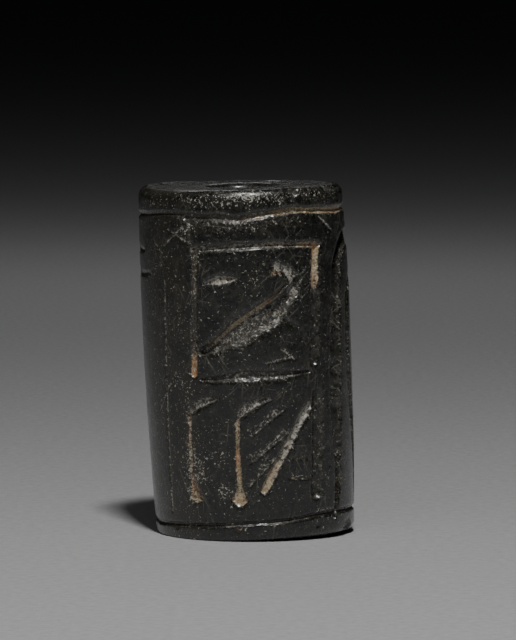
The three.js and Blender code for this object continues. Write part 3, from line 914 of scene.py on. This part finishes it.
@dataclass
class SealBody:
    """The seal: one stone, turned, pierced, engraved, worn and seated on its foot."""

    design: Engraving
    lean_degrees: float = 2.43
    worn_off_foot: float = 0.05
    bore: float = 1.75
    mouth_rounding: float = 0.42
    top_rounding: float = 0.5
    foot_rounding: float = 0.52
    steps_round: int = 180
    wall_courses: int = 24
    most_triangles: int = 194_000
    deepest: float = 0.6

    def build(self) -> tuple[bpy.types.Object, Vector]:
        """Makes the finished mesh in its place.

        Returns:
            The piece, and where the foot of its axis stands, in millimetres.
        """
        piece = self._draw_section()
        self._turn(piece)
        self._shape_by_hand(piece)
        self._engrave(piece)
        self._thin(piece)
        self._record_marks(piece)
        foot = self._stand(piece)
        return piece, foot

    def _draw_section(self) -> bpy.types.Object:
        """Draws one half of the seal's lengthwise section, with rounded corners, as a wire."""
        deselect_all()
        thickness = WALL.belly - self.bore
        middle = (self.bore + thickness / 2, 0.0, WALL.length / 2)
        bpy.ops.mesh.primitive_plane_add(size=1.0, location=middle, rotation=(math.pi / 2, 0.0, 0.0))
        piece = bpy.context.object
        piece.name = "seal"
        bpy.ops.transform.resize(value=(thickness, 1.0, WALL.length))
        bpy.ops.object.transform_apply(location=True, rotation=True, scale=True)
        for outer, upper, size in ((True, True, self.top_rounding), (True, False, self.foot_rounding),
                                   (False, True, self.mouth_rounding), (False, False, self.mouth_rounding)):
            self._round_corner(piece, outer, upper, size)
        bpy.ops.object.mode_set(mode="EDIT")
        bpy.ops.mesh.select_all(action="SELECT")
        bpy.ops.mesh.delete(type="ONLY_FACE")
        bpy.ops.object.mode_set(mode="OBJECT")
        self._divide(piece, "wall", self.wall_courses - 1)
        self._draw_barrel(piece)
        self._divide(piece, "wall", 3)
        self._divide(piece, "end", 8)
        self._divide(piece, "bore", 14)
        return piece

    def _round_corner(self, piece: bpy.types.Object, outer: bool, upper: bool, size: float) -> None:
        """Rounds one corner of the section.

        Args:
            piece: The section.
            outer: Whether the corner is on the outer wall.
            upper: Whether it is on the upper end.
            size: The rounding's radius.
        """
        pick(piece)
        xs = [vertex.co.x for vertex in piece.data.vertices]
        zs = [vertex.co.z for vertex in piece.data.vertices]
        x, z = (max if outer else min)(xs), (max if upper else min)(zs)
        corner = [abs(v.co.x - x) < 1e-4 and abs(v.co.z - z) < 1e-4 for v in piece.data.vertices]
        choose(piece, corner)
        bpy.ops.object.mode_set(mode="EDIT")
        bpy.ops.mesh.select_mode(type="VERT")
        bpy.ops.mesh.bevel(affect="VERTICES", offset_type="OFFSET", offset=size, segments=5 if outer else 3)
        bpy.ops.object.mode_set(mode="OBJECT")

    def _divide(self, piece: bpy.types.Object, part: str, cuts: int) -> None:
        """Divides the section's long edges evenly.

        Args:
            piece: The section.
            part: Which edges: those of the wall, the ends or the bore.
            cuts: How many new points each edge gets.
        """
        pick(piece)
        mesh = piece.data
        chosen = []
        for edge in mesh.edges:
            a, b = (mesh.vertices[number].co for number in edge.vertices)
            level = abs(a.z - b.z) < 1e-5
            inner = max(a.x, b.x) < self.bore + 1e-4
            outer = min(a.x, b.x) > WALL.foot - 0.2 and abs(a.z - b.z) > 0.3
            chosen.append({"wall": outer, "end": level, "bore": inner}[part])
        choose(piece, [False] * len(mesh.vertices), chosen)
        bpy.ops.object.mode_set(mode="EDIT")
        bpy.ops.mesh.select_mode(type="EDGE")
        bpy.ops.mesh.subdivide(number_cuts=cuts)
        bpy.ops.object.mode_set(mode="OBJECT")

    def _draw_barrel(self, piece: bpy.types.Object) -> None:
        """Moves the section's outer points to the barrelled wall, course by course."""
        pick(piece)
        mesh = piece.data
        lowest, highest = self.foot_rounding, WALL.length - self.top_rounding
        places = [vertex.co.copy() for vertex in mesh.vertices]
        moves: dict[float, float] = {}
        for place in places:
            if place.x > WALL.foot - self.foot_rounding - 0.3 and place.x > 4.0:
                height = min(max(place.z, lowest), highest)
                moves[round(height, 3)] = WALL.radius(height) - WALL.belly
        for height, shift in moves.items():
            held = [min(max(vertex.co.z, lowest), highest) for vertex in mesh.vertices]
            choose(piece, [v.co.x > 4.5 and abs(z - height) < 2e-3 for v, z in zip(mesh.vertices, held)])
            if abs(shift) > 1e-5:
                bpy.ops.object.mode_set(mode="EDIT")
                bpy.ops.mesh.select_mode(type="VERT")
                bpy.ops.transform.translate(value=(shift, 0.0, 0.0))
                bpy.ops.object.mode_set(mode="OBJECT")

    def _turn(self, piece: bpy.types.Object) -> None:
        """Turns the section once round the axis into a closed, pierced stone."""
        pick(piece)
        bpy.ops.object.mode_set(mode="EDIT")
        bpy.ops.mesh.select_all(action="SELECT")
        bpy.ops.mesh.spin(steps=self.steps_round, angle=2 * math.pi, center=(0, 0, 0), axis=(0, 0, 1))
        bpy.ops.mesh.select_all(action="SELECT")
        bpy.ops.mesh.remove_doubles(threshold=1e-3)
        bpy.ops.mesh.normals_make_consistent(inside=False)
        bpy.ops.object.mode_set(mode="OBJECT")
        finer = piece.modifiers.new("finer", "SUBSURF")
        finer.levels = 2
        apply_modifier(piece, finer.name)
        bpy.ops.object.shade_smooth()

    def _press(self, piece: bpy.types.Object, name: str, strength: float, size: float = 0.0,
               group: str = "", middle: float = 0.0, way: str = "NORMAL") -> None:
        """Moves the surface along its normals, evenly or by a cloudy pattern.

        Args:
            piece: The piece.
            name: The modifier's name.
            strength: How far out the surface moves, in millimetres.
            size: The pattern's size in millimetres, or 0 for none.
            group: The vertex group that limits it, if any.
            middle: The pattern's value at which nothing moves.
            way: The direction in which the surface moves.
        """
        press = piece.modifiers.new(name, "DISPLACE")
        press.direction = way
        press.strength = strength
        press.mid_level = middle
        press.vertex_group = group
        if size:
            pattern = bpy.data.textures.new(name, "CLOUDS")
            pattern.noise_scale = size
            pattern.noise_depth = 3
            press.texture = pattern
        apply_modifier(piece, name)

    def _paint(self, piece: bpy.types.Object, name: str, weights: np.ndarray, levels: int = 255) -> None:
        """Gives a piece a vertex group with these weights, to the nearest of some levels."""
        group = piece.vertex_groups.new(name=name)
        steps = np.rint(np.clip(weights, 0.0, 1.0) * levels).astype(int)
        order = np.argsort(steps, kind="stable")
        ends = np.searchsorted(steps[order], np.arange(1, levels + 2))
        for level in range(1, levels + 1):
            chosen = order[ends[level - 1]:ends[level]]
            if chosen.size:
                group.add(chosen.tolist(), level / levels, "REPLACE")

    def _shape_by_hand(self, piece: bpy.types.Object) -> None:
        """Gives the turned stone the unevenness of handwork, and its top a slight tilt."""
        places = vertex_places(piece)
        most = 2 * WALL.out_of_round
        out = WALL.unevenness(np.arctan2(places[:, 0], -places[:, 1]), places[:, 2])
        out *= smooth_step(np.hypot(places[:, 0], places[:, 1]), 4.6, 5.4)
        self._paint(piece, "swell", out / most)
        self._paint(piece, "waist", -out / most)
        self._press(piece, "swelling", most, group="swell")
        self._press(piece, "waisting", -most, group="waist")
        rise = WALL.top_tilt * (WALL.belly - places[:, 0]) * WALL.share_above(places[:, 2]) ** 2
        most_rise = 2.1 * WALL.top_tilt * WALL.belly
        self._paint(piece, "rise", rise / most_rise)
        self._press(piece, "tilted_top", most_rise, group="rise", way="Z")
        drop = WALL.top_tilt * WALL.belly
        self._paint(piece, "drop", WALL.share_above(places[:, 2]) ** 2)
        self._press(piece, "level_top", -drop, group="drop", way="Z")
        self._press(piece, "broad_hollows", 0.07, 5.5, middle=0.5)
        self._press(piece, "small_hollows", 0.022, 1.1, middle=0.5)

    def _engrave(self, piece: bpy.types.Object) -> None:
        """Cuts the design, softens its edges by wear and roughens its floors."""
        marks = self.design.read(vertex_places(piece))
        self._paint(piece, "cut", marks.depth / self.deepest)
        self._paint(piece, "grit", marks.grit)
        self._press(piece, "engraving", -self.deepest, group="cut")
        wear = piece.modifiers.new("worn_edges", "SMOOTH")
        wear.factor = 0.5
        wear.iterations = 2
        apply_modifier(piece, wear.name)
        self._press(piece, "rough_floors", 0.11, 0.16, group="grit", middle=0.5)
        self._press(piece, "rim_pits", 0.012, 0.3, middle=0.5)

    def _thin(self, piece: bpy.types.Object) -> None:
        """Thins the mesh where it is smooth, down to the most triangles it may have."""
        triangles = sum(len(face.vertices) - 2 for face in piece.data.polygons)
        thin = piece.modifiers.new("thinned", "DECIMATE")
        thin.ratio = min(1.0, self.most_triangles / triangles)
        apply_modifier(piece, thin.name)
        piece.vertex_groups.clear()

    def _record_marks(self, piece: bpy.types.Object) -> None:
        """Keeps the marks that the finish reads, one value a vertex."""
        marks = self.design.read(vertex_places(piece))
        for name in ("grit", "earth", "rub", "pale", "dust_and_glint", "film_and_sheen"):
            kept = piece.data.attributes.new(name, "FLOAT", "POINT")
            kept.data.foreach_set("value", getattr(marks, name).astype(np.float32))

    def _stand(self, piece: bpy.types.Object) -> Vector:
        """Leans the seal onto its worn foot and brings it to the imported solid's place.

        Args:
            piece: The seal, upright in its own frame, in millimetres.

        Returns:
            Where the foot of the seal's axis stands, in millimetres.
        """
        pick(piece)
        piece.rotation_euler = (0.0, -math.radians(self.lean_degrees), 0.0)
        piece.location = (0.0, 0.0, -self.worn_off_foot)
        bpy.ops.object.transform_apply(location=True, rotation=True, scale=True)
        choose(piece, [vertex.co.z < 0.0 for vertex in piece.data.vertices])
        bpy.ops.object.mode_set(mode="EDIT")
        bpy.ops.mesh.select_mode(type="VERT")
        bpy.ops.transform.resize(value=(1.0, 1.0, 0.0), center_override=(0, 0, 0))
        bpy.ops.object.mode_set(mode="OBJECT")

        places = vertex_places(piece)
        own = (places.min(axis=0) + places.max(axis=0)) / 2
        low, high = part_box("seal_body")
        shift = Vector(((low[0] + high[0]) / 2 / MM - own[0], (low[1] + high[1]) / 2 / MM - own[1], low[2] / MM))
        piece.location = shift * MM
        piece.scale = (MM, MM, MM)
        bpy.ops.object.transform_apply(location=True, rotation=True, scale=True)
        return shift - Vector((0.0, 0.0, self.worn_off_foot))

    def dress(self, piece: bpy.types.Object, foot: Vector) -> None:
        """Gives the piece its finish and says what it stands for.

        Args:
            piece: The seal.
            foot: Where the foot of its axis stands, in millimetres.
        """
        piece.data.materials.clear()
        piece.data.materials.append(WornSteatite().build(foot, math.radians(self.lean_degrees)))
        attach(piece, "root")
        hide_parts("seal_body")


# --------------------------------------------------------------------------- the studio


@dataclass
class Studio:
    """A plain pale floor, soft light from above and in front, and the camera."""

    foot: Vector
    camera_offset: tuple[float, float, float] = (0.165, -285.0, 35.0)
    camera_down: float = 4.63
    lens: float = 286.0
    floor_size: tuple[float, float] = (2600.0, 4200.0)

    def lay_floor(self) -> bpy.types.Object:
        """Lays the floor under the seal and well behind it."""
        deselect_all()
        bpy.ops.mesh.primitive_plane_add(size=1.0, location=(0.0, self.floor_size[1] * MM * 0.3, 0.0))
        floor = bpy.context.object
        floor.name = "floor"
        bpy.ops.transform.resize(value=(self.floor_size[0] * MM, self.floor_size[1] * MM, 1.0))
        bpy.ops.object.transform_apply(location=True, rotation=True, scale=True)
        floor.data.materials.append(PaleCard().build())
        return floor

    def hang_light(self, name: str, place: tuple[float, float, float], size: Place, watts: float,
                   tint: Colour = (1.0, 1.0, 1.0), aim: tuple[float, float, float] = (0, 0, 8)) -> None:
        """Hangs a soft light that faces the seal.

        Args:
            name: Its name.
            place: Where it hangs, in millimetres.
            size: Its width and height in millimetres.
            watts: Its power.
            tint: Its colour.
            aim: The point it faces, in millimetres.
        """
        lamp = bpy.data.lights.new(name, "AREA")
        lamp.shape = "RECTANGLE"
        lamp.size, lamp.size_y = size[0] * MM, size[1] * MM
        lamp.energy = watts
        lamp.color = tint
        holder = bpy.data.objects.new(name, lamp)
        bpy.context.scene.collection.objects.link(holder)
        holder.location = Vector(place) * MM
        holder.rotation_euler = (Vector(aim) - Vector(place)).to_track_quat("-Z", "Y").to_euler()

    def light(self) -> None:
        """Hangs the main light and the weak ones that fill the shadows."""
        self.hang_light("key", (12.0, -94.0, 180.0), (20.0, 24.0), 0.27)
        self.hang_light("fill", (-70.0, -200.0, 220.0), (200.0, 200.0), 0.055)
        self.hang_light("far_floor", (0.0, 195.0, 100.0), (40.0, 40.0), 0.011, aim=(0.0, 195.0, 0.0))
        world = bpy.data.worlds.new("dim_room")
        world.use_nodes = True
        world.node_tree.nodes["Background"].inputs["Color"].default_value = (0.9, 0.95, 1.0, 1.0)
        world.node_tree.nodes["Background"].inputs["Strength"].default_value = 0.004
        bpy.context.scene.world = world

    def place_camera(self) -> None:
        """Sets the camera a little above the seal, looking slightly down at it."""
        lens = bpy.data.cameras.new("camera")
        lens.lens = self.lens
        lens.sensor_width = 36.0
        lens.clip_start = 0.01
        lens.clip_end = 20.0
        camera = bpy.data.objects.new("camera", lens)
        bpy.context.scene.collection.objects.link(camera)
        right, back, up = self.camera_offset
        camera.location = Vector((self.foot.x + right, back, up)) * MM
        camera.rotation_euler = (math.radians(90.0 - self.camera_down), 0.0, 0.0)
        bpy.context.scene.camera = camera


def main() -> None:
    """Builds the seal and its studio."""
    logging.basicConfig(level=logging.INFO, format="%(name)s: %(message)s")
    seal = SealBody(whole_engraving())
    piece, foot = seal.build()
    seal.dress(piece, foot)
    LOG.info("%s: %d faces, axis foot at %s mm", piece.name, len(piece.data.polygons), tuple(foot))
    studio = Studio(foot)
    studio.lay_floor()
    studio.light()
    studio.place_camera()
    LOG.info("studio: floor, lights and camera in place")


if __name__ == "__main__":
    main()
